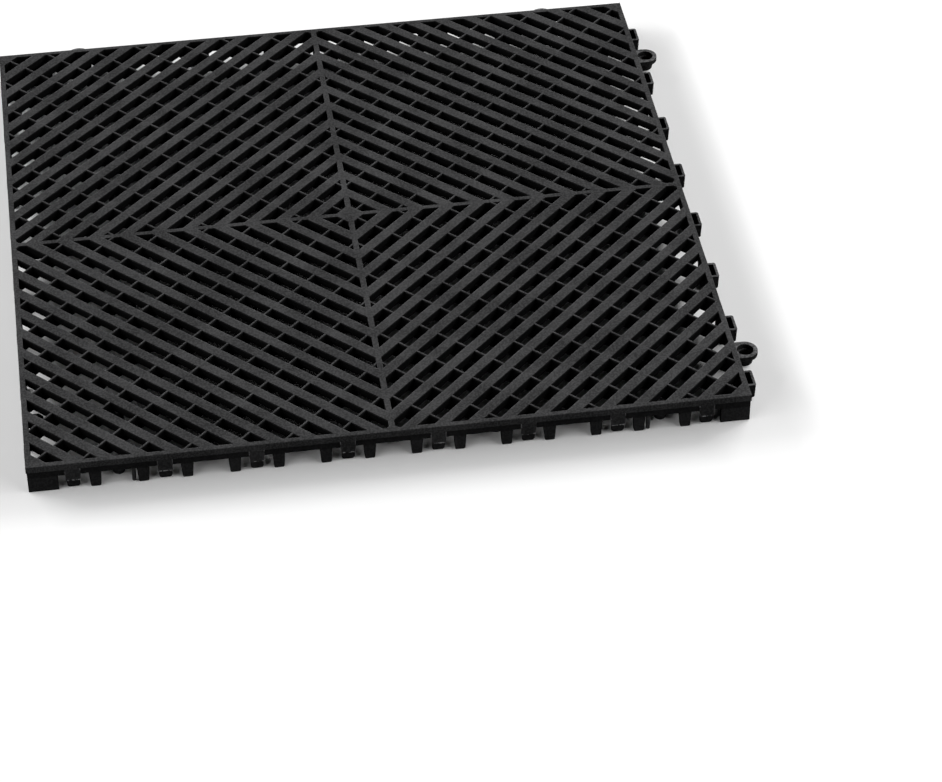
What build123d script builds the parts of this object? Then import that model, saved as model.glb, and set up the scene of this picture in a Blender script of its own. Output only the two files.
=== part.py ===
from build123d import *
import math
import os

os.makedirs("parts", exist_ok=True)

# Overall size of one tile, in millimetres
TILE_SIZE = 400.0
TILE_HEIGHT = 18.0
UNDERSIDE_Z = 9.8

# Walking pattern: diagonal bars in four mirrored quadrants
BAR_PITCH = 13.0
BAR_WIDTH = 6.4
BAR_DEPTH = 4.2
FIRST_BAR = 16.0
CENTRE_PLATE = 6.5
SPINE_WIDTH = 3.3

# Thin cross ribs, square to the bars and flush with them
RIB_PITCH = 19.65
RIB_WIDTH = 1.4

# Rim: a lip as deep as the bars, over a skirt set slightly back
RIM_WIDTH = 3.1
SKIRT_SETBACK = 0.4
CORNER_GAP = 0.6

# Latches: one in the middle of each equal share of the side, so tiles mate
LATCH_COUNT = 8

# Snap hooks, and the legs beside them, on the front and left edges
HOOK_WIDTH = 8.3
HOOK_TIP_WIDTH = 6.2
HOOK_TIP_Z = 0.6
HOOK_BARB_Z = 6.3
HOOK_THICKNESS = 2.4
HOOK_RAKE = 0.8
BARB_PROUD = 0.7
LEG_WIDTH = 7.0
LEG_OFFSET = 12.0
LEG_TAPER = 0.7
POST_WIDTH = 2.0
POST_GAP = 0.4

# Receiving loops and rings, on the right and back edges
LOOP_LENGTH = 13.4
LOOP_REACH = 7.0
LOOP_WALL = 1.6
LOOP_TOP_Z = 9.4
LOOP_FOOT_Z = 0.6
LOOP_CORNER = 1.2
SOCKET_PLATE = 15.0
RING_RADIUS = 7.3
RING_BORE = 4.7
RING_OFFSET = 7.2
COLLAR_DEPTH = 3.0
BARREL_RADIUS = 5.3
BARREL_TIP_RADIUS = 4.7
BARREL_BORE = 3.6
RING_SIDES = 16

# Stepped locating pegs, which fit a neighbour's rings, and feet
PEG_CLEARANCE = 0.3
PEG_FOOT_Z = 3.0
WEB_TOP_Z = 13.0
FOOT_SIZE = 6.4
CENTRE_FOOT = 10.0
SPINE_FOOT_AT = 100.0
FOOT_SPOTS = ((6, 0), (15, 0), (9, 3), (9, -3))

HALF = TILE_SIZE / 2
INNER = HALF - RIM_WIDTH
SKIRT = HALF - SKIRT_SETBACK
BAR_BOTTOM = TILE_HEIGHT - BAR_DEPTH
SQ = math.sqrt(0.5)

# Bars and ribs fill each quadrant as far as its corners
BAR_COUNT = int((INNER / SQ - FIRST_BAR) / BAR_PITCH) + 1
RIB_REACH = int(INNER * SQ / RIB_PITCH)

# Pegs and rings stand midway between the last two latches of a side
LATCH_PITCH = TILE_SIZE / LATCH_COUNT
LATCH_STATIONS = [LATCH_PITCH * (i + 0.5) - HALF for i in range(LATCH_COUNT)]
PEG_STATIONS = (LATCH_PITCH - HALF, HALF - LATCH_PITCH)

# A peg's shank fits the collar and its tip the barrel
SHOULDER_Z = LOOP_TOP_Z - COLLAR_DEPTH
PEG_RADIUS = RING_BORE - PEG_CLEARANCE
PEG_TIP_RADIUS = BARREL_BORE - PEG_CLEARANCE
PEG_STEP_Z = SHOULDER_Z + PEG_CLEARANCE

# Corner legs end just short of the last socket plate
CORNER_START = LATCH_STATIONS[-1] + SOCKET_PLATE / 2 + CORNER_GAP

# Each post stands beside the outer leg of the last latch but one
POST_OFFSET = LATCH_STATIONS[-2] + LEG_OFFSET + LEG_WIDTH / 2 + POST_GAP + POST_WIDTH / 2


def half_plane(points, a, b, c):
    """Keeps the part of a polygon where a*x + b*y is at most c."""
    kept = []
    for i, p in enumerate(points):
        q = points[(i + 1) % len(points)]
        fp = a * p[0] + b * p[1] - c
        fq = a * q[0] + b * q[1] - c
        if fp <= 0:
            kept.append(p)
        if (fp < 0 < fq) or (fq < 0 < fp):
            s = fp / (fp - fq)
            kept.append((p[0] + s * (q[0] - p[0]), p[1] + s * (q[1] - p[1])))
    return kept


def band(low, high, a, b):
    """Outline of a diagonal band, cut off at the quadrant's square."""
    points = [(0.0, 0.0), (INNER, 0.0), (INNER, INNER), (0.0, INNER)]
    points = half_plane(points, a, b, high)
    points = half_plane(points, -a, -b, -low)
    return points


def prism(points, z_low, z_high):
    """Upright prism over a flat outline."""
    face = make_face(Polyline(*[(x, y, z_low) for x, y in points], close=True))
    return extrude(face, z_high - z_low, dir=(0, 0, 1))


def block(x_span, y_span, z_span):
    """Box between two corners."""
    width = x_span[1] - x_span[0]
    depth = y_span[1] - y_span[0]
    height = z_span[1] - z_span[0]
    low = (Align.MIN, Align.MIN, Align.MIN)
    return Box(width, depth, height, align=low).moved(
        Location((x_span[0], y_span[0], z_span[0]))
    )


def disc(radius, x, y, z_low, z_high):
    """Upright cylinder."""
    low = (Align.CENTER, Align.CENTER, Align.MIN)
    return Cylinder(radius, z_high - z_low, align=low).moved(Location((x, y, z_low)))


def merge(shapes):
    """One solid out of several that touch or overlap."""
    joined = shapes[0].fuse(*shapes[1:])
    return joined.clean()


def quadrant_grille():
    """Bars, ribs and half spines of the quadrant at +X +Y."""
    half_spine = SPINE_WIDTH / 2
    spines = [
        [(0, 0), (INNER, 0), (INNER, half_spine), (0, half_spine)],
        [(0, 0), (half_spine, 0), (half_spine, INNER), (0, INNER)],
    ]
    bars = [band(-1.0, CENTRE_PLATE, SQ, SQ)]
    for k in range(BAR_COUNT):
        middle = FIRST_BAR + BAR_PITCH * k
        high = middle + BAR_WIDTH / 2
        if k == BAR_COUNT - 1:
            high = 2 * INNER
        bars.append(band(middle - BAR_WIDTH / 2, high, SQ, SQ))
    ribs = []
    for m in range(-RIB_REACH, RIB_REACH + 1):
        t = RIB_PITCH * m
        ribs.append(band(t - RIB_WIDTH / 2, t + RIB_WIDTH / 2, SQ, -SQ))
    solids = [prism(outline, BAR_BOTTOM, TILE_HEIGHT) for outline in bars]
    for outline in spines + ribs:
        solids.append(prism(outline, UNDERSIDE_Z, TILE_HEIGHT))
    return merge(solids)


def rim_strip():
    """Rim along the front edge, from the left corner to the right strip."""
    lip = block((-HALF, INNER), (-HALF, -INNER), (BAR_BOTTOM, TILE_HEIGHT))
    skirt = block((-SKIRT, INNER), (-SKIRT, -INNER), (UNDERSIDE_Z, BAR_BOTTOM))
    return merge([lip, skirt])


def leg(left, right):
    """Tapered leg under the front skirt."""
    outline = Polyline(
        (left, -SKIRT, UNDERSIDE_Z),
        (left + LEG_TAPER, -SKIRT, 0.0),
        (right - LEG_TAPER, -SKIRT, 0.0),
        (right, -SKIRT, UNDERSIDE_Z),
        close=True,
    )
    return extrude(make_face(outline), SKIRT - INNER, dir=(0, 1, 0))


def hook(station):
    """Snap hook that hangs under the lip, narrower below its barb."""
    face_y = -HALF
    back_y = -SKIRT + HOOK_THICKNESS
    profile = Polyline(
        (0, -SKIRT, BAR_BOTTOM),
        (0, face_y, BAR_BOTTOM),
        (0, face_y, HOOK_BARB_Z + BARB_PROUD),
        (0, face_y - BARB_PROUD, HOOK_BARB_Z),
        (0, face_y + HOOK_RAKE, HOOK_TIP_Z),
        (0, back_y, HOOK_TIP_Z),
        (0, back_y, UNDERSIDE_Z),
        (0, -SKIRT, UNDERSIDE_Z),
        close=True,
    )
    arm = extrude(make_face(profile), HOOK_WIDTH / 2, dir=(1, 0, 0), both=True)
    half = HOOK_WIDTH / 2
    tip = HOOK_TIP_WIDTH / 2
    ahead = face_y - HOOK_WIDTH
    front = Polyline(
        (-half, ahead, BAR_BOTTOM),
        (-half, ahead, HOOK_BARB_Z),
        (-tip, ahead, HOOK_TIP_Z),
        (tip, ahead, HOOK_TIP_Z),
        (half, ahead, HOOK_BARB_Z),
        (half, ahead, BAR_BOTTOM),
        close=True,
    )
    shape = arm & extrude(make_face(front), 2 * HOOK_WIDTH, dir=(0, 1, 0))
    return shape.moved(Location((station, 0, 0)))


def peg(station):
    """Locating peg under the rim, hung from a thin web."""
    middle_y = -HALF + RING_OFFSET
    half = RIB_WIDTH / 2
    shank = disc(PEG_RADIUS, station, middle_y, PEG_STEP_Z, UNDERSIDE_Z)
    tip = disc(PEG_TIP_RADIUS, station, middle_y, PEG_FOOT_Z, PEG_STEP_Z)
    web = block(
        (station - half, station + half),
        (-INNER, middle_y + PEG_RADIUS / 2),
        (UNDERSIDE_Z, WEB_TOP_Z),
    )
    return merge([shank, tip, web])


def hook_edge():
    """Everything under the front rim: legs, hooks, posts and pegs."""
    pieces = []
    for station in LATCH_STATIONS:
        pieces.append(hook(station))
        for side in (-1, 1):
            middle = station + side * LEG_OFFSET
            if abs(middle) + LEG_WIDTH / 2 < CORNER_START:
                pieces.append(leg(middle - LEG_WIDTH / 2, middle + LEG_WIDTH / 2))
    for side in (-1, 1):
        post = (side * POST_OFFSET - POST_WIDTH / 2, side * POST_OFFSET + POST_WIDTH / 2)
        post_y = (-SKIRT, -SKIRT + POST_WIDTH)
        pieces.append(block(post, post_y, (HOOK_TIP_Z, UNDERSIDE_Z)))
    for station in PEG_STATIONS:
        pieces.append(peg(station))
    return Compound(children=pieces)


def loop_outline(station):
    """Plan of a rectangular loop, open towards its plate."""
    front = -HALF - LOOP_REACH
    half = LOOP_LENGTH / 2
    inside = half - LOOP_WALL
    return [
        (station - half, -SKIRT),
        (station - half, front + LOOP_CORNER),
        (station - half + LOOP_CORNER, front),
        (station + half - LOOP_CORNER, front),
        (station + half, front + LOOP_CORNER),
        (station + half, -SKIRT),
        (station + inside, -SKIRT),
        (station + inside, front + LOOP_WALL),
        (station - inside, front + LOOP_WALL),
        (station - inside, -SKIRT),
    ]


def plate(left, right):
    """Full-depth plate under the rim, behind a loop or ring."""
    return block((left, right), (-SKIRT, -INNER), (0, UNDERSIDE_Z))


def ring(station):
    """Round socket for a neighbour's peg, with its plate."""
    middle_y = -HALF - RING_OFFSET
    turn = 180.0 / RING_SIDES
    half = SOCKET_PLATE / 2
    flat = RegularPolygon(RING_RADIUS, RING_SIDES, major_radius=False, rotation=turn)
    collar = extrude(flat, COLLAR_DEPTH).moved(
        Location((station, middle_y, SHOULDER_Z))
    )
    neck = block(
        (station - RING_RADIUS, station + RING_RADIUS),
        (middle_y, -SKIRT),
        (SHOULDER_Z, LOOP_TOP_Z),
    )
    flat = RegularPolygon(BARREL_TIP_RADIUS, RING_SIDES, major_radius=False, rotation=turn)
    height = SHOULDER_Z - LOOP_FOOT_Z
    flare = math.degrees(math.atan((BARREL_RADIUS - BARREL_TIP_RADIUS) / height))
    barrel = extrude(flat, height, taper=-flare).moved(
        Location((station, middle_y, LOOP_FOOT_Z))
    )
    solid = merge([plate(station - half, station + half), collar, neck, barrel])
    wide = disc(RING_BORE, station, middle_y, SHOULDER_Z, TILE_HEIGHT)
    narrow = disc(BARREL_BORE, station, middle_y, 0, TILE_HEIGHT)
    return solid.cut(wide, narrow)


def socket_edge():
    """Everything under a rim with sockets, drawn at the front edge."""
    half = SOCKET_PLATE / 2
    pieces = []
    for station in LATCH_STATIONS:
        back = plate(station - half, station + half)
        loop = prism(loop_outline(station), LOOP_FOOT_Z, LOOP_TOP_Z)
        pieces.append(merge([back, loop]))
    for station in PEG_STATIONS:
        pieces.append(ring(station))
    return Compound(children=pieces)


def corner_legs():
    """Angle-shaped leg under each corner of the rim."""
    angle = [
        (SKIRT, SKIRT),
        (CORNER_START, SKIRT),
        (CORNER_START, INNER),
        (INNER, INNER),
        (INNER, CORNER_START),
        (SKIRT, CORNER_START),
    ]
    leg_solid = prism(angle, 0, UNDERSIDE_Z)
    turned = [leg_solid.rotate(Axis.Z, 90 * i) for i in range(4)]
    return Compound(children=turned)


def feet():
    """Separate feet under the grilles, at crossings and under the spines."""
    spots = [(SPINE_FOOT_AT, 0, 0), (-SPINE_FOOT_AT, 0, 0)]
    spots += [(0, SPINE_FOOT_AT, 0), (0, -SPINE_FOOT_AT, 0)]
    for k, m in FOOT_SPOTS:
        d = FIRST_BAR + BAR_PITCH * k
        t = RIB_PITCH * m
        x = SQ * (d + t)
        y = SQ * (d - t)
        spots += [(x, y, 45), (-x, y, 45), (x, -y, 45), (-x, -y, 45)]
    low = (Align.CENTER, Align.CENTER, Align.MIN)
    blocks = [Box(CENTRE_FOOT, CENTRE_FOOT, UNDERSIDE_Z, align=low)]
    for x, y, turn in spots:
        foot = Box(FOOT_SIZE, FOOT_SIZE, UNDERSIDE_Z, align=low)
        blocks.append(foot.moved(Location((x, y, 0), (0, 0, turn))))
    return Compound(children=blocks)


def save(shape, name):
    """Writes one node of the tile."""
    export_step(shape, os.path.join("parts", name + ".step"))


grille = quadrant_grille()
save(grille, "grille_back_right")
save(grille.rotate(Axis.Z, 90), "grille_back_left")
save(grille.rotate(Axis.Z, 180), "grille_front_left")
save(grille.rotate(Axis.Z, -90), "grille_front_right")

rim = rim_strip()
save(rim, "rim_front")
save(rim.rotate(Axis.Z, 90), "rim_right")
save(rim.rotate(Axis.Z, 180), "rim_back")
save(rim.rotate(Axis.Z, -90), "rim_left")

hooks = hook_edge()
save(hooks, "hooks_front")
save(hooks.rotate(Axis.Z, -90), "hooks_left")

sockets = socket_edge()
save(sockets.rotate(Axis.Z, 90), "sockets_right")
save(sockets.rotate(Axis.Z, 180), "sockets_back")

save(corner_legs(), "corner_legs")
save(feet(), "feet")
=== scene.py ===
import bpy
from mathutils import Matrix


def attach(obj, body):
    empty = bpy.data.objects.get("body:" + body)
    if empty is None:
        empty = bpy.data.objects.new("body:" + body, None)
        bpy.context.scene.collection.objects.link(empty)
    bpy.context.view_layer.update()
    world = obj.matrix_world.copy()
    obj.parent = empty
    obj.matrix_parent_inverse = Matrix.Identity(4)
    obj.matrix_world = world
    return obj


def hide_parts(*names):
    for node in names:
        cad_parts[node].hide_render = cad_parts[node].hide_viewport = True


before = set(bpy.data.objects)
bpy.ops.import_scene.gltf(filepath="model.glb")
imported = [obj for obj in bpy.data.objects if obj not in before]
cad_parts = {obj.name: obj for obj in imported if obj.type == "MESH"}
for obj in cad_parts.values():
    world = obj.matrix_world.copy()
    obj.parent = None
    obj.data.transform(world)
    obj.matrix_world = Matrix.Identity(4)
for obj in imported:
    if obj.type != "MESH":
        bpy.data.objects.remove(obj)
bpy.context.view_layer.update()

import logging
import math
from abc import ABC, abstractmethod
from dataclasses import dataclass
from enum import Enum

import bmesh
import bpy
from bmesh.types import BMEdge, BMesh, BMFace, BMVert
from mathutils import Matrix, Vector

log = logging.getLogger("drainage_tile")

BODY = "root"
SQ = math.sqrt(0.5)
# A millimetre in metres, for the finishes and for the finished meshes.
MM = 0.001
# Distances in millimetres: places within NEAR count as one, cuts snap to corners
# within SNAP and doubled corners within it merge, and where quadrants meet, or at
# a pole, corners within WELD merge.
NEAR = 0.01
SNAP = 1e-4
WELD = 1e-3
# A face with at least this much of its normal upright is level.
LEVEL = 0.9
# Folds in radians: up to the first an edge is shaded smooth, past the second it can
# be rounded.
SMOOTH_FOLD = math.radians(12.5)
CREASE = 0.5

Colour = tuple[float, float, float, float]
Point = tuple[float, float, float]
Range = tuple[float, float]
Element = BMVert | BMEdge | BMFace


class Side(Enum):
    """A side of the tile, as the quarter turns that bring the front edge to it."""

    FRONT = 0
    RIGHT = 1
    BACK = 2
    LEFT = 3

    def turn(self) -> Matrix:
        """Rotation from the front edge to this side."""
        return Matrix.Rotation(self.value * math.pi / 2, 4, "Z")

    def along(self) -> Vector:
        """Direction in which places along this side are counted."""
        return self.turn() @ Vector((1, 0, 0))

    def outward(self) -> Vector:
        """Direction away from the tile's middle."""
        return self.turn() @ Vector((0, -1, 0))


class Zone(Enum):
    """What a face of the deck's plan belongs to."""

    PATTERN = 1
    BAR = 2
    RIB = 3
    SPINE = 4
    RIM = 5
    LIP = 6


# Materials


class Signal:
    """A socket in a node tree, on which Python's operators build Math nodes."""

    def __init__(self, bench: "Bench", socket: bpy.types.NodeSocket | None) -> None:
        """Wraps one output socket.

        Args:
            bench: The node tree that the socket belongs to.
            socket: The output socket, or None for a node without outputs.
        """
        self.bench = bench
        self.socket = socket

    def math(self, operation: str, *values: "Signal | float") -> "Signal":
        """Adds a Math node.

        Args:
            operation: Its operation, by Blender's name.
            values: What goes into its sockets, in order.

        Returns:
            The node's result.
        """
        sockets = dict(enumerate(values))
        return self.bench.node("ShaderNodeMath", {"operation": operation}, sockets)

    def __add__(self, other: "Signal | float") -> "Signal":
        """Sum."""
        return self.math("ADD", self, other)

    def __radd__(self, other: float) -> "Signal":
        """Sum, number first."""
        return self.math("ADD", other, self)

    def __sub__(self, other: "Signal | float") -> "Signal":
        """Difference."""
        return self.math("SUBTRACT", self, other)

    def __rsub__(self, other: float) -> "Signal":
        """Difference, number first."""
        return self.math("SUBTRACT", other, self)

    def __mul__(self, other: "Signal | float") -> "Signal":
        """Product."""
        return self.math("MULTIPLY", self, other)

    def __rmul__(self, other: float) -> "Signal":
        """Product, number first."""
        return self.math("MULTIPLY", other, self)

    def __truediv__(self, other: "Signal | float") -> "Signal":
        """Quotient."""
        return self.math("DIVIDE", self, other)

    def __abs__(self) -> "Signal":
        """Size without the sign."""
        return self.math("ABSOLUTE", self)

    def above(self, other: "Signal | float") -> "Signal":
        """1 where it is more than another value, else 0."""
        return self.math("GREATER_THAN", self, other)

    def larger(self, other: "Signal | float") -> "Signal":
        """The larger of two values."""
        return self.math("MAXIMUM", self, other)

    def smaller(self, other: "Signal | float") -> "Signal":
        """The smaller of two values."""
        return self.math("MINIMUM", self, other)

    def sign(self) -> "Signal":
        """1 above 0 and -1 below."""
        return self.math("SIGN", self)

    def fract(self) -> "Signal":
        """What it is above the next whole number down."""
        return self.math("FRACT", self)

    def ramp(self, low: float, high: float) -> "Signal":
        """Rises smoothly from 0 to 1 between two values.

        Args:
            low: Where it is still 0.
            high: Where it has reached 1; below low it falls instead.

        Returns:
            A value from 0 to 1.
        """
        sockets = {"Value": self, "From Min": low, "From Max": high}
        settings = {"interpolation_type": "SMOOTHSTEP"}
        return self.bench.node("ShaderNodeMapRange", settings, sockets)


class Bench:
    """Builds the node tree of one material, or of the world."""

    def __init__(self, tree: bpy.types.NodeTree) -> None:
        """Empties a tree and takes it over.

        Args:
            tree: The node tree of a material or world.
        """
        self.tree = tree
        tree.nodes.clear()

    def node(
        self,
        kind: str,
        settings: dict[str, object] | None = None,
        sockets: dict[str | int, object] | None = None,
        output: str | int = 0,
    ) -> Signal:
        """Adds any node.

        Args:
            kind: Blender's name of the node type.
            settings: Properties that are set first.
            sockets: Values or signals for its inputs, by name or number.
            output: Which output is wanted.

        Returns:
            That output.
        """
        made = self.tree.nodes.new(kind)
        for name, value in (settings or {}).items():
            setattr(made, name, value)
        for name, value in (sockets or {}).items():
            if isinstance(value, Signal):
                self.tree.links.new(value.socket, made.inputs[name])
            else:
                made.inputs[name].default_value = value
        return Signal(self, made.outputs[output] if len(made.outputs) else None)

    def axes(self, vector: Signal, letters: str) -> list[Signal]:
        """Takes a vector apart.

        Args:
            vector: The vector.
            letters: Which of its numbers are wanted, such as XZ.

        Returns:
            Those numbers, in that order.
        """
        sockets = {"Vector": vector}
        return [self.node("ShaderNodeSeparateXYZ", None, sockets, axis) for axis in letters]

    def blend(self, amount: Signal, low: Colour, high: Colour) -> Signal:
        """Mixes two colours. A Mix node's colour sockets go by number.

        Args:
            amount: 0 gives the first colour and 1 the second.
            low: First colour.
            high: Second colour.

        Returns:
            The mixed colour.
        """
        settings = {"data_type": "RGBA", "clamp_factor": False}
        return self.node("ShaderNodeMix", settings, {0: amount, 6: low, 7: high}, 2)


@dataclass(frozen=True)
class Cloud:
    """A cloudy pattern: noise, with all below and above two values made even."""

    scale: float
    detail: float
    low: float
    high: float


class Place:
    """The place that a material shades, as signals."""

    def __init__(self, bench: Bench) -> None:
        """Reads the place and the slope of the skin there.

        Args:
            bench: The material's tree.
        """
        self.bench = bench
        self.spot = bench.node("ShaderNodeTexCoord", output="Object")
        self.x, self.y, self.z = bench.axes(self.spot, "XYZ")
        normal = bench.node("ShaderNodeNewGeometry", output="True Normal")
        self.facing, self.rise = bench.axes(normal, "YZ")

    def noise(self, scale: float, detail: float) -> Signal:
        """Noise from 0 to 1, with so many cells in a metre and so many finer layers."""
        sockets = {"Vector": self.spot, "Scale": scale, "Detail": detail}
        return self.bench.node("ShaderNodeTexNoise", None, sockets, "Fac")

    def cloud(self, cloud: Cloud) -> Signal:
        """A cloudy pattern, from 0 to 1."""
        return self.noise(cloud.scale, cloud.detail).ramp(cloud.low, cloud.high)


@dataclass(frozen=True)
class MouldedPlastic(ABC):
    """Black injection-moulded polypropylene with a satin, slightly mottled skin.

    A range says where something is absent and where it is full, in metres or, for
    a slope, as a part of the normal.
    """

    name: str
    dark: Colour = (0.0040, 0.0040, 0.0043, 1.0)
    light: Colour = (0.0640, 0.0640, 0.0655, 1.0)
    smooth: float = 0.64
    dull: float = 0.78
    specular: float = 0.13
    ior: float = 1.49
    clouds: Cloud = Cloud(38.0, 3.0, 0.34, 0.68)
    specks: Cloud = Cloud(900.0, 2.0, 0.42, 0.60)
    cloud_share: float = 0.36
    speck_share: float = 0.50
    least_mottle: float = 0.24
    grain: float = 0.22 * MM
    grain_detail: float = 2.0
    grain_height: float = 0.012 * MM
    grain_strength: float = 0.30
    # Painted highlight on rounded edges that face the back, in patches: its strength and its
    # patches.
    back_edge_highlight: float = 1.3
    back_edge_highlight_patches: Cloud = Cloud(900.0, 2.0, 0.30, 0.60)
    edge_facing: Range = (-0.05, 0.15)
    edge_rise: Range = (0.15, 0.35)
    edge_flat: Range = (0.99, 0.94)
    # A second skin for draft faces: duller, and dark enough that it paints shade where depth says.
    painted_shade_dark: Colour = (0.0006, 0.0006, 0.0007, 1.0)
    painted_shade_light: Colour = (0.0018, 0.0018, 0.0019, 1.0)
    draft_dull: float = 0.85
    draft_specular: float = 0.05

    def slope(self, at: Place, way: float) -> Signal:
        """Where the skin slopes to the back or the front, as only rounded edges do.

        Args:
            at: The place that is shaded.
            way: 1 for the back and -1 for the front.

        Returns:
            1 on such an edge, else 0.
        """
        sloping = at.rise.ramp(*self.edge_rise) * at.rise.ramp(*self.edge_flat)
        return sloping * (at.facing * way).ramp(*self.edge_facing)

    def depth(self, at: Place) -> Signal | None:
        """Where the dark, dull skin of draft faces paints shade, from 0 to 1, or None."""
        return None

    @abstractmethod
    def shade(self, at: Place, mottle: Signal) -> Signal:
        """How light the skin is at each place, with the marks of this finish.

        Args:
            at: The place that is shaded.
            mottle: Cloudy value from 0 to 1.

        Returns:
            0 for the dark colour and 1 for the light one, or more.
        """

    def mottle(self, at: Place) -> Signal:
        """The cloudy and speckled unevenness of the skin."""
        clouds = at.cloud(self.clouds) * self.cloud_share
        return clouds + at.cloud(self.specks) * self.speck_share + self.least_mottle

    def build(self) -> bpy.types.Material:
        """Makes the material.

        Returns:
            The finished material.
        """
        material = bpy.data.materials.new(self.name)
        material.use_nodes = True
        bench = Bench(material.node_tree)
        at = Place(bench)
        mottle = self.mottle(at)
        # Painted highlight on rounded edges that face the back, in patches.
        patchy_pale_edge = self.slope(at, 1.0) * at.cloud(self.back_edge_highlight_patches) * self.back_edge_highlight
        shade = self.shade(at, mottle) + patchy_pale_edge
        grain = at.noise(1.0 / self.grain, self.grain_detail)
        sockets = {
            "Strength": self.grain_strength,
            "Distance": self.grain_height,
            "Height": grain,
        }
        skin = {
            "Base Color": bench.blend(shade, self.dark, self.light),
            "Roughness": self.smooth + (self.dull - self.smooth) * (1.0 - mottle),
            "Specular IOR Level": self.specular,
            "IOR": self.ior,
            "Normal": bench.node("ShaderNodeBump", None, sockets),
        }
        shader = bench.node("ShaderNodeBsdfPrincipled", None, skin)
        # Where depth says, a second dark, dull skin paints shade.
        depth = self.depth(at)
        if depth is not None:
            draft = {
                "Base Color": bench.blend(mottle, self.painted_shade_dark, self.painted_shade_light),
                "Roughness": self.draft_dull,
                "Specular IOR Level": self.draft_specular,
                "IOR": self.ior,
            }
            dull = bench.node("ShaderNodeBsdfPrincipled", None, draft)
            sockets = {0: depth, 1: shader, 2: dull}
            shader = bench.node("ShaderNodeMixShader", None, sockets)
        bench.node("ShaderNodeOutputMaterial", None, {"Surface": shader})
        return material


@dataclass(frozen=True)
class DeckPlastic(MouldedPlastic):
    """The deck's skin: faint sink marks over the ribs, a painted highlight along the bars'
    back edges, and painted light and shade that make the top and the lip paler than the skirt.
    """

    rib_pitch: float = 19.65 * MM
    bar_pitch: float = 13.0 * MM
    first_bar: float = 16.0 * MM
    outer_face: Range = (199.45 * MM, 199.58 * MM)
    under_lip: Range = (13.9 * MM, 13.6 * MM)
    over_legs: Range = (9.2 * MM, 10.0 * MM)
    below_top: Range = (17.85 * MM, 17.4 * MM)
    skirt_shade_share: float = 0.5
    sink_mark: Range = (4.5 * MM, 0.5 * MM)
    sink_patches: Cloud = Cloud(45.0, 2.0, 0.45, 0.70)
    # Painted highlight along the bars' back edges.
    bar_highlight_inner: Range = (2.2 * MM, 2.8 * MM)
    bar_highlight_outer: Range = (3.2 * MM, 3.1 * MM)
    mottle_share: float = 0.79
    sink_share: float = 0.08
    bar_highlight_share: float = 0.16
    # Painted light and shade by height: the skirt and legs darkest, the lip paler, the top palest.
    lip_height: Range = (13.5 * MM, 13.9 * MM)
    top_height: Range = (17.5 * MM, 17.9 * MM)
    shaded_low_tone: float = 0.34
    lip_light_tone: float = 0.44
    top_light_tone: float = 0.22

    def depth(self, at: Place) -> Signal:
        """Painted shade below the flat top and on rounded edges that face the front, and
        half of it on the skirt under the lip, but none on the lip or the legs.

        Args:
            at: The place that is shaded.

        Returns:
            1 where the skin is the dark, dull one of painted shade.
        """
        outer = abs(at.x).larger(abs(at.y)).ramp(*self.outer_face)
        # The skirt under the lip, which gets painted shade.
        skirt = at.z.ramp(*self.under_lip) * at.z.ramp(*self.over_legs)
        low = at.z.ramp(*self.below_top)
        inside = low + (1.0 - low) * self.slope(at, -1.0)
        return inside * (1.0 - outer) + skirt * outer * self.skirt_shade_share

    def shade(self, at: Place, mottle: Signal) -> Signal:
        """Adds the sink marks, a painted highlight along the bars' back edges, and painted
        light and shade by height, which make the lip and the top paler.

        Args:
            at: The place that is shaded.
            mottle: Cloudy value from 0 to 1.

        Returns:
            The lightness from dark to light.
        """
        ribs = (abs(at.x) - abs(at.y)) * (SQ / self.rib_pitch)
        off_rib = abs((ribs + 0.5).fract() - 0.5) * self.rib_pitch
        sink = off_rib.ramp(*self.sink_mark) * at.cloud(self.sink_patches)
        bars = ((abs(at.x) + abs(at.y)) * SQ - self.first_bar) / self.bar_pitch
        off_bar = ((bars + 0.5).fract() - 0.5) * self.bar_pitch
        # Painted highlight along the bars' back edges.
        back = off_bar * at.y.sign()
        bar_highlight = back.ramp(*self.bar_highlight_inner) * back.ramp(*self.bar_highlight_outer)
        # The real sink marks together with the painted highlight.
        marks = sink * self.sink_share + bar_highlight * self.bar_highlight_share
        # Painted light and shade by height: the lip and the top paler than the skirt and the legs.
        lip = self.lip_light_tone * at.z.ramp(*self.lip_height)
        top = self.top_light_tone * at.z.ramp(*self.top_height)
        return (mottle * self.mottle_share + marks) * (self.shaded_low_tone + lip + top)


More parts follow.
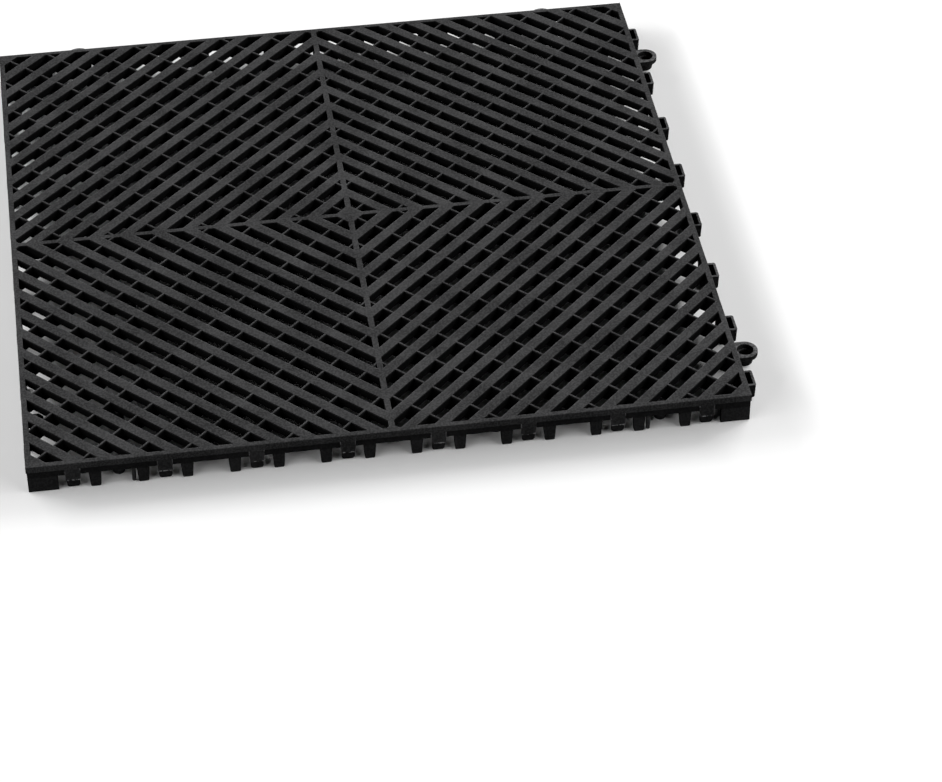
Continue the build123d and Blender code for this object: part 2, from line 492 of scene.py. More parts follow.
@dataclass(frozen=True)
class LatchPlastic(MouldedPlastic):
    """The hooks' skin: pale side edges in patches, flecks of flash along the barbs, a painted
    highlight on the round posts and painted shade on the tongues below the barbs.
    """

    pitch: float = 50.0 * MM
    half_width: float = 4.2 * MM
    inside_hook: Range = (4.5 * MM, 4.2 * MM)
    side_edge: Range = (0.50 * MM, 0.25 * MM)
    plate_height: Range = (5.7 * MM, 6.3 * MM)
    post_at: float = 17.1 * MM
    # Painted highlight down the round posts.
    post_highlight_reach: Range = (1.5 * MM, 1.1 * MM)
    fleck_at: float = 6.5 * MM
    fleck_reach: Range = (0.70 * MM, 0.35 * MM)
    flecks: Cloud = Cloud(1000.0, 1.0, 0.49, 0.60)
    fleck_tone: float = 4.5
    edge_patches: Cloud = Cloud(500.0, 2.0, 0.35, 0.60)
    edge_tone: float = 1.5
    # Painted shade: the tongue below the barb is darker than the plate above it.
    shaded_tongue_tone: float = 0.20
    plate_light_tone: float = 0.20
    post_highlight_tone: float = 0.35

    def shade(self, at: Place, mottle: Signal) -> Signal:
        """Adds the pale edges, the flecks, the painted highlight and the painted shade.

        Args:
            at: The place that is shaded.
            mottle: Cloudy value from 0 to 1.

        Returns:
            The lightness, far above 1 on a fleck.
        """
        front = abs(at.y).above(abs(at.x))
        along = at.x * front + at.y * (1.0 - front)
        aside = abs((along / self.pitch).fract() - 0.5) * self.pitch
        # Above the barb; below it the tongue is in painted shade.
        plate = at.z.ramp(*self.plate_height)
        # Painted highlight down the round post beside each leg.
        post = abs(aside - self.post_at).ramp(*self.post_highlight_reach)
        tone = self.shaded_tongue_tone + self.plate_light_tone * plate + self.post_highlight_tone * post
        side = abs(aside - self.half_width).ramp(*self.side_edge)
        patchy_pale_edge = at.cloud(self.edge_patches)
        near = abs(at.z - self.fleck_at).ramp(*self.fleck_reach)
        flash = near * at.cloud(self.flecks) * aside.ramp(*self.inside_hook) * self.fleck_tone
        return mottle * tone + side * plate * patchy_pale_edge * self.edge_tone + flash


@dataclass(frozen=True)
class SocketPlastic(MouldedPlastic):
    """The loops' and rings' skin, duller and in painted shade on the upright draft faces."""

    pitch: float = 50.0 * MM
    upright: Range = (0.75, 0.35)
    upright_shade_share: float = 0.86
    inside_walls: Range = (5.9 * MM, 5.6 * MM)
    inside_bridge: Range = (206.2 * MM, 205.9 * MM)
    ring_side: Range = (16.0 * MM, 17.0 * MM)
    # Painted light: the loops paler than the deck, the rings palest.
    loop_light_tone: float = 2.2
    ring_light_tone: float = 1.2

    def aside(self, at: Place) -> Signal:
        """Distance along the side from the nearest loop's middle."""
        return abs((at.x.smaller(at.y) / self.pitch).fract() - 0.5) * self.pitch

    def depth(self, at: Place) -> Signal:
        """Painted shade on upright and overhanging faces, above all on those inside the loops.

        Args:
            at: The place that is shaded.

        Returns:
            1 where the skin is the dark, dull one of painted shade.
        """
        inside = self.aside(at).ramp(*self.inside_walls)
        inside = inside * at.x.larger(at.y).ramp(*self.inside_bridge)
        share = self.upright_shade_share + (1.0 - self.upright_shade_share) * inside
        return at.rise.ramp(*self.upright) * share

    def shade(self, at: Place, mottle: Signal) -> Signal:
        """Painted light: paler than the deck, palest on the rings in the deck's shade."""
        # Painted light, strongest on the rings.
        rings = self.aside(at).ramp(*self.ring_side)
        return mottle * (self.loop_light_tone + self.ring_light_tone * rings)


# Mesh helpers


def around(faces: list[BMFace]) -> list[Element]:
    """Faces with their edges and vertices, as bmesh operators want them.

    Args:
        faces: The faces.

    Returns:
        Each vertex, edge and face once.
    """
    verts = dict.fromkeys(vert for face in faces for vert in face.verts)
    edges = dict.fromkeys(edge for face in faces for edge in face.edges)
    return [*verts, *edges, *faces]


def verts_of(made: list[Element]) -> list[BMVert]:
    """The vertices among what an operator made."""
    return [item for item in made if isinstance(item, BMVert)]


def slice_faces(bm: BMesh, faces: list[BMFace], point: Vector, normal: Vector) -> None:
    """Cuts faces along a plane and keeps both halves.

    Args:
        bm: The mesh.
        faces: The faces to cut.
        point: A point on the plane.
        normal: The plane's normal.
    """
    geom = around(faces)
    bmesh.ops.bisect_plane(bm, geom=geom, dist=SNAP, plane_co=point, plane_no=normal)


def drop(bm: BMesh, faces: list[BMFace], depth: float, sheet: bool) -> list[BMFace]:
    """Extrudes faces straight down.

    Args:
        bm: The mesh.
        faces: One or more regions of faces.
        depth: How far they go down.
        sheet: True where they are an open sheet, which stays as the top; false
            where they are a solid's underside, which moves down whole.

    Returns:
        The lowered faces.
    """
    made = bmesh.ops.extrude_face_region(bm, geom=faces)["geom"]
    bmesh.ops.translate(bm, verts=verts_of(made), vec=(0, 0, -depth))
    if not sheet:
        bmesh.ops.delete(bm, geom=faces, context="FACES")
    return [item for item in made if isinstance(item, BMFace)]


def soften(bm: BMesh, edges: list[BMEdge], size: float, steps: int = 2) -> None:
    """Rounds edges.

    Args:
        bm: The mesh.
        edges: The edges.
        size: Width of the rounding.
        steps: Number of strips in it.
    """
    bmesh.ops.bevel(
        bm,
        geom=edges,
        offset=size,
        offset_type="OFFSET",
        segments=steps,
        profile=0.5,
        affect="EDGES",
        clamp_overlap=False,
        material=-1,
    )


def convex(edge: BMEdge) -> bool:
    """True if the edge stands out enough to be rounded."""
    return edge.is_manifold and edge.calc_face_angle_signed() > CREASE


def hollow(edge: BMEdge) -> bool:
    """True if the edge is the bottom of a corner that can be rounded."""
    return edge.is_manifold and edge.calc_face_angle_signed() < -CREASE


def upright(edge: BMEdge) -> bool:
    """True if the edge rises by more than a millimetre."""
    return abs(edge.verts[0].co.z - edge.verts[1].co.z) > 1.0


def polygon(bm: BMesh, points: list[Point]) -> BMFace:
    """A flat face through a few points."""
    return bm.faces.new([bm.verts.new(point) for point in points])


def swept(bm: BMesh, points: list[Point], way: Vector) -> list[BMVert]:
    """A closed prism: a flat outline pushed along a direction.

    Args:
        bm: The mesh.
        points: The outline.
        way: How far and where it is pushed.

    Returns:
        The prism's vertices.
    """
    face = polygon(bm, points)
    start = list(face.verts)
    verts = verts_of(bmesh.ops.extrude_face_region(bm, geom=[face])["geom"])
    bmesh.ops.translate(bm, verts=verts, vec=way)
    return start + verts


def turned(bm: BMesh, points: list[Range], centre: Vector, steps: int) -> None:
    """A closed solid of revolution about an upright axis.

    Args:
        bm: The mesh.
        points: Closed outline as radius and height; a solid one starts and ends
            on the axis, at radius 0.
        centre: A point on the axis, at height 0.
        steps: Number of sides.
    """
    ring = [bm.verts.new((centre.x + r, centre.y, z)) for r, z in points]
    edges = [bm.edges.new(pair) for pair in zip(ring, ring[1:])]
    if points[0][0] > 0:
        edges.append(bm.edges.new((ring[-1], ring[0])))
    bmesh.ops.spin(
        bm,
        geom=ring + edges,
        cent=centre,
        axis=(0, 0, 1),
        angle=math.tau,
        steps=steps,
        use_merge=True,
    )
    on_axis = [vert for vert in bm.verts if (vert.co - centre).xy.length < SNAP]
    bmesh.ops.remove_doubles(bm, verts=on_axis, dist=WELD)


def bar(bm: BMesh, low: Vector, high: Vector) -> None:
    """A rectangular block between two corners."""
    place = Matrix.Translation((low + high) / 2) @ Matrix.Diagonal((*(high - low), 1))
    bmesh.ops.create_cube(bm, size=1.0, matrix=place)


def join(bm: BMesh, part: BMesh) -> None:
    """Adds a finished part to a mesh.

    Args:
        bm: The mesh.
        part: The part; it is freed.
    """
    mesh = bpy.data.meshes.new("part")
    part.to_mesh(mesh)
    part.free()
    bm.from_mesh(mesh)
    bpy.data.meshes.remove(mesh)


def finished(bm: BMesh, name: str, material: bpy.types.Material) -> bpy.types.Object:
    """Turns a mesh in millimetres into a piece in metres.

    Args:
        bm: The mesh; it is freed.
        name: The piece's name.
        material: Its finish.

    Returns:
        The piece, riding on the tile's body.
    """
    bmesh.ops.remove_doubles(bm, verts=bm.verts, dist=SNAP)
    bmesh.ops.recalc_face_normals(bm, faces=bm.faces)
    for face in bm.faces:
        face.smooth = True
    for edge in bm.edges:
        edge.smooth = edge.is_manifold and edge.calc_face_angle() < SMOOTH_FOLD
    bmesh.ops.scale(bm, verts=bm.verts, vec=(MM, MM, MM))
    mesh = bpy.data.meshes.new(name)
    bm.to_mesh(mesh)
    bm.free()
    mesh.materials.append(material)
    piece = bpy.data.objects.new(name, mesh)
    bpy.context.scene.collection.objects.link(piece)
    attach(piece, BODY)
    return piece


# The tile


@dataclass
class Deck:
    """Bars, ribs, spines, rim and legs, moulded in one. Sizes are in millimetres."""

    material: bpy.types.Material
    half: float = 200.0
    top: float = 18.0
    lip_bottom: float = 13.8
    bar_bottom: float = 13.2
    underside: float = 9.8
    rib_bottom: float = 7.4
    rim: float = 3.1
    setback: float = 0.4
    bar_pitch: float = 13.0
    bar_width: float = 6.4
    first_bar: float = 16.0
    centre_plate: float = 6.5
    spine: float = 3.3
    rib_pitch: float = 19.65
    rib_width: float = 1.4
    latch_count: int = 8
    corner_gap: float = 0.6
    leg_width: float = 7.0
    leg_offset: float = 12.0
    leg_taper: float = 0.7
    leg_corner: float = 1.1
    leg_corner_steps: int = 4
    leg_slack: float = 0.1
    plate_width: float = 15.0
    edge: float = 0.3
    shortest_edge: float = 0.66
    outer_band: float = 0.5
    grille_nodes: tuple[str, ...] = (
        "grille_back_right",
        "grille_back_left",
        "grille_front_left",
        "grille_front_right",
        "rim_front",
        "rim_right",
        "rim_back",
        "rim_left",
        "corner_legs",
    )

    def __post_init__(self) -> None:
        """Works out the places and counts that follow from the sizes."""
        self.inner: float = self.half - self.rim
        self.skirt: float = self.half - self.setback
        self.pitch: float = 2 * self.half / self.latch_count
        places = range(self.latch_count)
        self.stations: list[float] = [self.pitch * (i + 0.5) - self.half for i in places]
        self.pegs: Range = (self.pitch - self.half, self.half - self.pitch)
        last = self.stations[-1] + self.plate_width / 2
        self.corner_start: float = last + self.corner_gap
        reach = self.inner / SQ - self.first_bar
        self.bar_count: int = int(reach / self.bar_pitch) + 1
        self.rib_reach: int = int(self.inner * SQ / self.rib_pitch)

    def kind_at(self, x: float, y: float) -> Zone | None:
        """What stands at a place of the quadrant's pattern.

        Args:
            x: Distance from the spine along Y.
            y: Distance from the spine along X.

        Returns:
            A bar or a rib, or None in an opening.
        """
        depth = SQ * (x + y)
        slant = SQ * (x - y)
        number = round(slant / self.rib_pitch)
        off_rib = abs(slant - number * self.rib_pitch)
        if abs(number) <= self.rib_reach and off_rib < self.rib_width / 2:
            return Zone.RIB
        if depth < self.centre_plate:
            return Zone.BAR
        count = round((depth - self.first_bar) / self.bar_pitch)
        off_bar = abs(depth - self.first_bar - count * self.bar_pitch)
        past_last = depth > self.first_bar + (self.bar_count - 1) * self.bar_pitch
        if count >= 0 and (off_bar < self.bar_width / 2 or past_last):
            return Zone.BAR
        return None

    def frame_at(self, x: float, y: float) -> Zone:
        """What stands at a place of the quadrant, before its pattern is cut.

        Args:
            x: Distance from the middle along X.
            y: Distance from the middle along Y.

        Returns:
            The lip, the rim, a spine or the field that the pattern fills.
        """
        far, near = max(x, y), min(x, y)
        if far > self.skirt:
            return Zone.LIP
        if far > self.inner:
            return Zone.RIM
        return Zone.SPINE if near < self.spine / 2 else Zone.PATTERN

    def plan(self, bm: BMesh) -> None:
        """Draws the flat plan of all four quadrants.

        Args:
            bm: An empty mesh.
        """
        zone = bm.faces.layers.int.new("zone")
        size = self.half / 2
        bmesh.ops.create_grid(bm, x_segments=1, y_segments=1, size=size)
        bmesh.ops.translate(bm, verts=bm.verts, vec=(size, size, self.top))
        for place in (self.spine / 2, self.inner, self.skirt):
            for way in (Vector((1, 0, 0)), Vector((0, 1, 0))):
                slice_faces(bm, list(bm.faces), way * place, way)
        for face in bm.faces:
            middle = face.calc_center_median()
            face[zone] = self.frame_at(middle.x, middle.y).value
        self.cut_pattern(bm, zone)
        quadrant = around(list(bm.faces))
        for number in range(1, 4):
            verts = verts_of(bmesh.ops.duplicate(bm, geom=quadrant)["geom"])
            turn = Matrix.Rotation(number * math.pi / 2, 3, "Z")
            bmesh.ops.rotate(bm, verts=verts, cent=(0, 0, 0), matrix=turn)
        bmesh.ops.remove_doubles(bm, verts=bm.verts, dist=WELD)

    def cut_pattern(self, bm: BMesh, zone: bmesh.types.BMLayerItem) -> None:
        """Cuts bars, ribs and openings into the quadrant's middle.

        Args:
            bm: The mesh with one quadrant.
            zone: The face layer that holds each face's zone.
        """
        slant_way, depth_way = Vector((SQ, -SQ, 0)), Vector((SQ, SQ, 0))
        planes = [(depth_way, self.centre_plate)]
        for number in range(self.bar_count):
            middle = self.first_bar + number * self.bar_pitch
            planes.append((depth_way, middle - self.bar_width / 2))
            if number < self.bar_count - 1:
                planes.append((depth_way, middle + self.bar_width / 2))
        for number in range(-self.rib_reach, self.rib_reach + 1):
            for side in (-1, 1):
                place = number * self.rib_pitch + side * self.rib_width / 2
                planes.append((slant_way, place))
        for way, place in planes:
            faces = [face for face in bm.faces if face[zone] == Zone.PATTERN.value]
            slice_faces(bm, faces, way * place, way)
        empty = []
        for face in bm.faces:
            if face[zone] != Zone.PATTERN.value:
                continue
            middle = face.calc_center_median()
            kind = self.kind_at(middle.x, middle.y)
            if kind is None:
                empty.append(face)
            else:
                face[zone] = kind.value
        bmesh.ops.delete(bm, geom=empty, context="FACES")

    def strip(self, bm: BMesh, side: Side) -> list[BMFace]:
        """Finds the rim's underside along one side.

        Args:
            bm: The mesh, rim lowered.
            side: Which side.

        Returns:
            Its level faces.
        """
        zone = bm.faces.layers.int["zone"]
        found = []
        for face in bm.faces:
            if face[zone] != Zone.RIM.value or abs(face.normal.z) < LEVEL:
                continue
            middle = face.calc_center_median()
            low = abs(middle.z - self.underside) < NEAR
            if low and middle.dot(side.outward()) > self.inner:
                found.append(face)
        return found

    def spans(self, side: Side) -> list[tuple[float, float, float]]:
        """Where something reaches from the rim to the floor along one side.

        Args:
            side: Which side.

        Returns:
            Start, end and taper of each leg or plate.
        """
        found = []
        if side in (Side.FRONT, Side.LEFT):
            for station in self.stations:
                for sign in (-1, 1):
                    middle = station + sign * self.leg_offset
                    if abs(middle) + self.leg_width / 2 < self.corner_start:
                        ends = (middle - self.leg_width / 2, middle + self.leg_width / 2)
                        found.append((*ends, self.leg_taper))
            corner = self.corner_start
        else:
            for station in [*self.stations, *self.pegs]:
                ends = (station - self.plate_width / 2, station + self.plate_width / 2)
                found.append((*ends, 0.0))
            corner = self.corner_start - self.corner_gap
        found.append((-self.skirt, -corner, 0.0))
        found.append((corner, self.skirt, 0.0))
        return found

    def lower_legs(self, bm: BMesh) -> None:
        """Brings legs, plates and corners down to the floor.

        Args:
            bm: The mesh, deep parts lowered.
        """
        for side in Side:
            along = side.along()
            ends = {round(end, 4) for span in self.spans(side) for end in span[:2]}
            for place in sorted(ends):
                if abs(place) < self.skirt - NEAR:
                    slice_faces(bm, self.strip(bm, side), along * place, along)
        grown = {}
        for side in Side:
            along = side.along()
            faces = [(face, face.calc_center_median().dot(along)) for face in self.strip(bm, side)]
            for start, end, _ in self.spans(side):
                grown.update({face: side for face, place in faces if start < place < end})
        self.taper_legs(bm, drop(bm, list(grown), self.underside, False))

    def taper_legs(self, bm: BMesh, feet: list[BMFace]) -> None:
        """Narrows the legs beside the hooks towards the floor.

        Args:
            bm: The mesh.
            feet: The faces on the floor.
        """
        for face in feet:
            middle = face.calc_center_median()
            for side in (Side.FRONT, Side.LEFT):
                way = side.along()
                place, out = middle.dot(way), middle.dot(side.outward())
                for start, end, taper in self.spans(side):
                    if taper and out > self.inner and start < place < end:
                        share = 1 - 2 * taper / (end - start)
                        size = Vector([share if abs(part) > 0.5 else 1.0 for part in way])
                        space = Matrix.Translation(-way * (start + end) / 2)
                        bmesh.ops.scale(bm, verts=list(face.verts), vec=size, space=space)

    def round_legs(self, bm: BMesh) -> None:
        """Rounds the legs' lower corners, as seen from in front of each side.

        Args:
            bm: The closed mesh.
        """
        chosen = []
        reach = self.leg_taper + self.leg_slack
        for side in (Side.FRONT, Side.LEFT):
            along, outward = side.along(), side.outward()
            ends = [place for a, b, taper in self.spans(side) if taper for place in (a, b)]
            for edge in bm.edges:
                first, second = (vert.co for vert in edge.verts)
                if max(first.z, second.z) > NEAR or abs((first - second).dot(along)) > NEAR:
                    continue
                if min(first.dot(outward), second.dot(outward)) < self.inner - NEAR:
                    continue
                if min(abs(first.dot(along) - end) for end in ends) < reach:
                    chosen.append(edge)
        soften(bm, chosen, self.leg_corner, self.leg_corner_steps)

    def soften_edges(self, bm: BMesh) -> None:
        """Rounds the openings' upper edges and all outer edges.

        Args:
            bm: The closed mesh.
        """
        chosen = []
        band = self.inner + self.outer_band
        for edge in bm.edges:
            if not convex(edge) or edge.calc_length() <= self.shortest_edge:
                continue
            places = [vert.co for vert in edge.verts]
            high = all(place.z > self.top - NEAR for place in places)
            outside = all(max(abs(place.x), abs(place.y)) > band for place in places)
            if high or outside:
                chosen.append(edge)
        soften(bm, chosen, self.edge)

    def build(self) -> bpy.types.Object:
        """Makes the deck.

        Returns:
            The piece.
        """
        bm = bmesh.new()
        self.plan(bm)
        zone = bm.faces.layers.int["zone"]
        lowered = list(bm.faces)
        level = self.top
        for bottom, kinds in (
            (self.lip_bottom, set(Zone)),
            (self.bar_bottom, set(Zone) - {Zone.LIP}),
            (self.underside, {Zone.RIB, Zone.SPINE, Zone.RIM}),
            (self.rib_bottom, {Zone.RIB, Zone.SPINE}),
        ):
            chosen = [face for face in lowered if Zone(face[zone]) in kinds]
            lowered = drop(bm, chosen, level - bottom, level == self.top)
            level = bottom
        self.lower_legs(bm)
        bmesh.ops.recalc_face_normals(bm, faces=bm.faces)
        self.round_legs(bm)
        self.soften_edges(bm)
        piece = finished(bm, "deck", self.material)
        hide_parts(*self.grille_nodes)
        return piece


@dataclass
class Row(ABC):
    """What stands along one side of the deck, drawn at the front side."""

    material: bpy.types.Material
    deck: Deck

    @abstractmethod
    def fill(self, bm: BMesh) -> None:
        """Adds all that the row has to its mesh."""

    def build(self, side: Side, node: str) -> bpy.types.Object:
        """Makes the row and turns it to its side.

        Args:
            side: Which side of the tile.
            node: The node that it stands for.

        Returns:
            The piece.
        """
        bm = bmesh.new()
        self.fill(bm)
        bmesh.ops.rotate(bm, verts=bm.verts, cent=(0, 0, 0), matrix=side.turn().to_3x3())
        piece = finished(bm, f"{node}_moulded", self.material)
        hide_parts(node)
        return piece


@dataclass
class HookRow(Row):
    """Snap hooks, round posts and pegs. Sizes are in millimetres."""

    ring: "SocketRow"
    width: float = 8.7
    waist: float = 8.2
    root: float = 0.2
    plate_proud: float = 0.05
    barb_z: float = 6.3
    barb_height: float = 0.9
    barb_proud: float = 0.6
    tongue_width: float = 7.6
    tongue_setback: float = 0.1
    tongue_rake: float = 1.0
    tongue_overlap: float = 0.2
    tip_width: float = 7.0
    tip_corner: float = 1.7
    tip_corner_steps: int = 5
    tip_z: float = 0.6
    thickness: float = 2.4
    post_radius: float = 1.2
    post_sides: int = 16
    post_gap: float = 0.4
    chamfer: float = 0.3
    clearance: float = 0.3
    peg_foot: float = 3.0
    peg_point: float = 0.7
    web_top: float = 13.0
    web_overlap: float = 0.1
    edge: float = 0.2

    def plate(self, part: BMesh, station: float) -> None:
        """A hook's upper half: a plate that narrows down to the barb.

        Args:
            part: The hook's mesh.
            station: Its place along the side.
        """
        deck = self.deck
        high, low = self.width / 2, self.waist / 2
        root, proud = -deck.skirt + self.root, -deck.half - self.barb_proud
        barb_top = self.barb_z + self.barb_height
        outline = [
            (root, deck.lip_bottom),
            (-deck.half - self.plate_proud, deck.lip_bottom),
            (proud, barb_top),
            (proud, self.barb_z),
            (root, self.barb_z),
        ]
        points = [(station - high, y, z) for y, z in outline]
        for vert in swept(part, points, Vector((2 * high, 0, 0))):
            if vert.co.z < barb_top + NEAR:
                vert.co.x = station + (vert.co.x - station) * low / high

    def tongue(self, part: BMesh, station: float) -> None:
        """A hook's lower half: a thicker tongue behind the barb, raked to its tip.

        Args:
            part: The hook's mesh.
            station: Its place along the side.
        """
        deck = self.deck
        wide, tip = self.tongue_width / 2, self.tip_width / 2
        front, back = -deck.half + self.tongue_setback, -deck.skirt + self.thickness
        outline = [
            (front, self.barb_z + self.tongue_overlap),
            (front + self.tongue_rake, self.tip_z),
            (back, self.tip_z),
            (back, deck.underside),
            (front, deck.underside),
        ]
        points = [(station - wide, y, z) for y, z in outline]
        for vert in swept(part, points, Vector((2 * wide, 0, 0))):
            if vert.co.z < self.tip_z + NEAR:
                vert.co.x = station + (vert.co.x - station) * tip / wide

    def hook(self, bm: BMesh, station: float) -> None:
        """One hook, drawn at the front side.

        Args:
            bm: The mesh that it joins.
            station: Its place along the side.
        """
        part = bmesh.new()
        self.plate(part, station)
        self.tongue(part, station)
        bmesh.ops.recalc_face_normals(part, faces=part.faces)
        corners = [
            edge
            for edge in part.edges
            if all(vert.co.z < self.tip_z + NEAR for vert in edge.verts)
            and abs(edge.verts[0].co.x - edge.verts[1].co.x) < NEAR
        ]
        soften(part, corners, self.tip_corner, self.tip_corner_steps)
        soften(part, [edge for edge in part.edges if convex(edge)], self.edge)
        join(bm, part)

    def post(self, bm: BMesh, station: float) -> None:
        """One round post beside a leg.

        Args:
            bm: The mesh that it joins.
            station: Its place along the side.
        """
        r, foot, top = self.post_radius, self.tip_z, self.deck.underside
        outline = [
            (0.0, foot),
            (r - self.chamfer, foot),
            (r, foot + self.chamfer),
            (r, top),
            (0.0, top),
        ]
        turned(bm, outline, Vector((station, -self.deck.skirt + r, 0)), self.post_sides)

    def peg(self, bm: BMesh, station: float) -> None:
        """One stepped locating peg, which fits a ring, and the web that carries it.

        Args:
            bm: The mesh that it joins.
            station: Its place along the side.
        """
        deck, ring = self.deck, self.ring
        middle = -deck.half + ring.offset
        r, tip = ring.bore - self.clearance, ring.barrel_bore - self.clearance
        foot, top = self.peg_foot, deck.underside
        step = ring.top - ring.collar + self.clearance
        outline = [
            (0.0, foot),
            (tip - self.peg_point, foot),
            (tip, foot + self.peg_point),
            (tip, step),
            (r - self.chamfer, step),
            (r, step + self.chamfer),
            (r, top),
            (0.0, top),
        ]
        turned(bm, outline, Vector((station, middle, 0)), ring.sides)
        half = deck.rib_width / 2
        low = Vector((station - half, -deck.inner, top - self.web_overlap))
        bar(bm, low, Vector((station + half, middle + r / 2, self.web_top)))

    def fill(self, bm: BMesh) -> None:
        """Adds the hooks, the posts and the pegs.

        Args:
            bm: The row's mesh.
        """
        deck = self.deck
        for station in deck.stations:
            self.hook(bm, station)
        beside = deck.stations[-2] + deck.leg_offset + deck.leg_width / 2
        post_at = beside + self.post_gap + self.post_radius
        for sign in (-1, 1):
            self.post(bm, sign * post_at)
        for station in deck.pegs:
            self.peg(bm, station)


@dataclass
class SocketRow(Row):
    """Loops and ring sockets. Sizes are in millimetres."""

    length: float = 13.4
    reach: float = 7.0
    wall: float = 1.6
    root: float = 0.1
    top: float = 9.4
    foot: float = 0.6
    corner: float = 1.3
    corner_steps: int = 8
    inner_corner: float = 0.4
    inner_corner_steps: int = 3
    narrowing: float = 0.3
    ring_radius: float = 7.3
    bore: float = 4.7
    offset: float = 7.2
    collar: float = 3.0
    barrel: float = 5.3
    barrel_tip: float = 4.7
    barrel_bore: float = 3.6
    barrel_overlap: float = 0.4
    barrel_inset: float = 0.2
    barrel_foot: tuple[Range, ...] = ((0.0, 1.0), (0.15, 0.5), (0.45, 0.12), (0.8, 0.0))
    sides: int = 40
    edge: float = 0.25

    def loop(self, bm: BMesh, station: float) -> None:
        """One U-shaped loop, drawn at the front side.

        Args:
            bm: The mesh that it joins.
            station: Its place along the side.
        """
        deck = self.deck
        front, back = -deck.half - self.reach, -deck.skirt + self.root
        half = self.length / 2
        hole, bridge = half - self.wall, front + self.wall
        outer = [(-half, back), (-half, front), (half, front), (half, back)]
        inner = [(hole, back), (hole, bridge), (-hole, bridge), (-hole, back)]
        part = bmesh.new()
        polygon(part, [(station + x, y, self.top) for x, y in outer + inner])
        lowered = drop(part, list(part.faces), self.top - self.foot, True)
        for vert in verts_of(around(lowered)):
            if abs(vert.co.x - station) > half - NEAR:
                vert.co.x -= math.copysign(self.narrowing, vert.co.x - station)
                if vert.co.y < front + NEAR:
                    vert.co.y += self.narrowing
        bmesh.ops.recalc_face_normals(part, faces=part.faces)
        outside = [
            edge
            for edge in part.edges
            if upright(edge)
            and convex(edge)
            and all(vert.co.y < back - NEAR for vert in edge.verts)
        ]
        soften(part, outside, self.corner, self.corner_steps)
        inside = [edge for edge in part.edges if upright(edge) and hollow(edge)]
        soften(part, inside, self.inner_corner, self.inner_corner_steps)
        self.soften_top(part, back)
        join(bm, part)

    def soften_top(self, part: BMesh, back: float) -> None:
        """Rounds the upper edges.

        Args:
            part: A loop or a collar.
            back: Where it meets the tile; the edge there stays sharp.
        """
        rims = [
            edge
            for edge in part.edges
            if convex(edge)
            and all(vert.co.z > self.top - NEAR for vert in edge.verts)
            and any(vert.co.y < back - NEAR for vert in edge.verts)
        ]
        soften(part, rims, self.edge)

    def ring_collar(self, bm: BMesh, station: float) -> None:
        """A ring's collar, which runs straight into the rim.

        Args:
            bm: The mesh that it joins.
            station: Its place along the side.
        """
        deck = self.deck
        r, steps = self.ring_radius, self.sides // 2
        middle, back = -deck.half - self.offset, -deck.skirt + self.root
        turns = [math.pi * (1 + number / steps) for number in range(steps + 1)]
        outer = [(station + r * math.cos(a), middle + r * math.sin(a)) for a in turns]
        outer += [(station + r, back), (station - r, back)]
        part = bmesh.new()
        verts = [part.verts.new((x, y, self.top)) for x, y in outer]
        for pair in zip(verts, verts[1:] + verts[:1]):
            part.edges.new(pair)
        place = Matrix.Translation((station, middle, self.top))
        bmesh.ops.create_circle(part, segments=self.sides, radius=self.bore, matrix=place)
        bmesh.ops.triangle_fill(part, edges=list(part.edges), use_beauty=True)
        drop(part, list(part.faces), self.collar, True)
        bmesh.ops.recalc_face_normals(part, faces=part.faces)
        self.soften_top(part, back)
        join(bm, part)

    def ring_barrel(self, bm: BMesh, station: float) -> None:
        """A ring's barrel: a tapered tube with a rounded foot, under the collar.

        Args:
            bm: The mesh that it joins.
            station: Its place along the side.
        """
        shoulder, inset = self.top - self.collar, self.bore + self.barrel_inset
        rim = shoulder + self.barrel_overlap
        outline = [(self.barrel_bore, shoulder), (inset, shoulder), (inset, rim)]
        outline.append((self.barrel, rim))
        outline += [(self.barrel_tip - x, self.foot + z) for x, z in self.barrel_foot]
        outline.append((self.barrel_bore, self.foot))
        centre = Vector((station, -self.deck.half - self.offset, 0))
        turned(bm, outline, centre, self.sides)

    def fill(self, bm: BMesh) -> None:
        """Adds the loops and the rings.

        Args:
            bm: The row's mesh.
        """
        for station in self.deck.stations:
            self.loop(bm, station)
        for station in self.deck.pegs:
            self.ring_collar(bm, station)
            self.ring_barrel(bm, station)


# The studio


@dataclass(frozen=True)
class Softbox:
    """A lamp that points at the tile. Lengths are in metres, angles in degrees."""

    name: str
    azimuth: float
    power: float
    elevation: float = 27.0
    width: float = 2.2
    height: float = 0.4
    distance: float = 3.0

    def hang(self) -> None:
        """Adds the lamp to the scene."""
        data = bpy.data.lights.new(self.name, "AREA")
        data.shape = "RECTANGLE"
        data.size, data.size_y = self.width, self.height
        data.energy = self.power
        turn, rise = math.radians(self.azimuth), math.radians(self.elevation)
        level = self.distance * math.cos(rise)
        place = Vector((level * math.cos(turn), level * math.sin(turn), 0))
        place.z = self.distance * math.sin(rise)
        lamp = bpy.data.objects.new(self.name, data)
        lamp.location = place
        lamp.rotation_euler = (-place).to_track_quat("-Z", "Y").to_euler()
        bpy.context.scene.collection.objects.link(lamp)


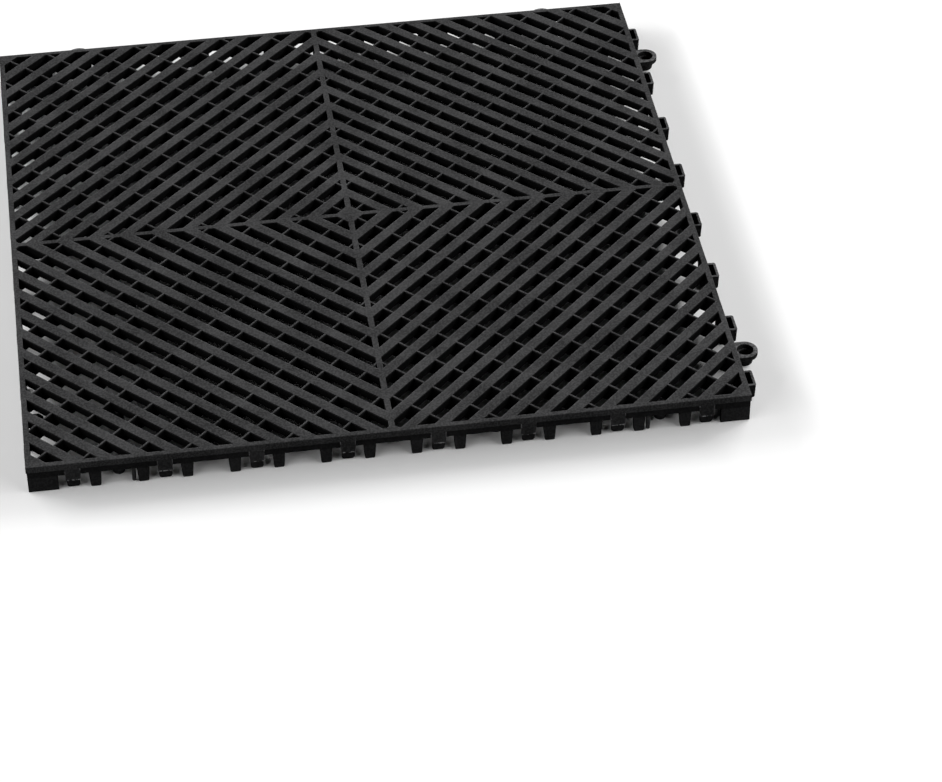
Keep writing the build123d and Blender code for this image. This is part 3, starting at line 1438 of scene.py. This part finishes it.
@dataclass
class Studio:
    """Pale floor, low soft lamps and the camera.

    Lengths are in metres, but for the lens and the sensor, which are in
    millimetres. Angles are in degrees: the heading is clockwise from the Y axis,
    and the tilt is counted from straight down.
    """

    lens: float = 121.95
    sensor: float = 36.0
    eye: Point = (-0.14692, -1.51321, 1.15293)
    heading: float = 8.2318
    tilt: float = 50.0404
    roll: float = -0.3657
    nearest: float = 0.05
    farthest: float = 60.0
    floor_half: float = 6.0
    floor_gap: float = 0.0002
    floor_seen: Colour = (1.0, 1.0, 1.0, 1.0)
    floor_lit: Colour = (0.15, 0.15, 0.15, 1.0)
    ambient: float = 0.003
    sheen: float = 0.06
    lamps: tuple[Softbox, ...] = (
        Softbox("low_left_softbox", azimuth=158.0, power=46.0, elevation=8.0, height=0.25),
        Softbox("left_softbox", azimuth=175.0, power=30.0),
        Softbox("back_left_softbox", azimuth=140.0, power=38.0),
        Softbox("back_right_softbox", azimuth=40.0, power=50.0),
        Softbox("right_softbox", azimuth=5.0, power=42.0),
        Softbox("front_left_softbox", azimuth=-145.0, power=27.0),
        Softbox("front_right_softbox", azimuth=-35.0, power=28.0),
        Softbox("overhead_panel", 91.0, power=3.2, elevation=38.0, width=1.2, height=1.2),
    )

    def camera(self) -> None:
        """Places the camera as the photograph was taken."""
        data = bpy.data.cameras.new("camera")
        data.sensor_fit = "HORIZONTAL"
        data.sensor_width = self.sensor
        data.lens = self.lens
        data.clip_start, data.clip_end = self.nearest, self.farthest
        camera = bpy.data.objects.new("camera", data)
        bpy.context.scene.collection.objects.link(camera)
        place = Matrix.Translation(self.eye)
        for angle, axis in ((-self.heading, "Z"), (self.tilt, "X"), (self.roll, "Z")):
            place = place @ Matrix.Rotation(math.radians(angle), 4, axis)
        camera.matrix_world = place
        bpy.context.scene.camera = camera

    def floor(self) -> None:
        """Lays the floor, white to the eye and greyer to the light it returns."""
        bm = bmesh.new()
        bmesh.ops.create_grid(bm, x_segments=1, y_segments=1, size=self.floor_half)
        bmesh.ops.translate(bm, verts=bm.verts, vec=(0, 0, -self.floor_gap))
        mesh = bpy.data.meshes.new("floor")
        bm.to_mesh(mesh)
        bm.free()
        material = bpy.data.materials.new("pale_floor")
        material.use_nodes = True
        bench = Bench(material.node_tree)
        seen = bench.node("ShaderNodeLightPath", output="Is Camera Ray")
        colour = bench.blend(seen, self.floor_lit, self.floor_seen)
        shader = bench.node("ShaderNodeBsdfDiffuse", None, {"Color": colour})
        bench.node("ShaderNodeOutputMaterial", None, {"Surface": shader})
        mesh.materials.append(material)
        floor = bpy.data.objects.new("floor", mesh)
        bpy.context.scene.collection.objects.link(floor)

    def light(self) -> None:
        """Hangs the lamps and sets the world, white to the eye and dim to the tile."""
        for lamp in self.lamps:
            lamp.hang()
        world = bpy.data.worlds.new("studio")
        world.use_nodes = True
        bpy.context.scene.world = world
        bench = Bench(world.node_tree)
        seen = bench.node("ShaderNodeLightPath", output="Is Camera Ray")
        glossy = bench.node("ShaderNodeLightPath", output="Is Glossy Ray")
        lit = self.ambient + (self.sheen - self.ambient) * glossy
        level = lit + (1.0 - self.ambient) * seen
        shader = bench.node("ShaderNodeBackground", None, {"Strength": level})
        bench.node("ShaderNodeOutputWorld", None, {"Surface": shader})
        bpy.context.scene.view_settings.view_transform = "Standard"

    def build(self) -> None:
        """Sets everything up."""
        self.camera()
        self.floor()
        self.light()


def main() -> None:
    """Builds the studio and the tile."""
    logging.basicConfig(level=logging.INFO)
    Studio().build()
    socket_plastic = SocketPlastic("socket_plastic").build()
    deck = Deck(DeckPlastic("deck_plastic").build())
    sockets = SocketRow(socket_plastic, deck)
    hooks = HookRow(LatchPlastic("latch_plastic").build(), deck, sockets)
    pieces = [
        deck.build(),
        hooks.build(Side.FRONT, "hooks_front"),
        hooks.build(Side.LEFT, "hooks_left"),
        sockets.build(Side.RIGHT, "sockets_right"),
        sockets.build(Side.BACK, "sockets_back"),
    ]
    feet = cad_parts["feet"]
    feet.data.materials.clear()
    feet.data.materials.append(socket_plastic)
    for piece in [*pieces, feet]:
        piece.data.calc_loop_triangles()
        log.info("%s: %d triangles", piece.name, len(piece.data.loop_triangles))


if __name__ == "__main__":
    main()
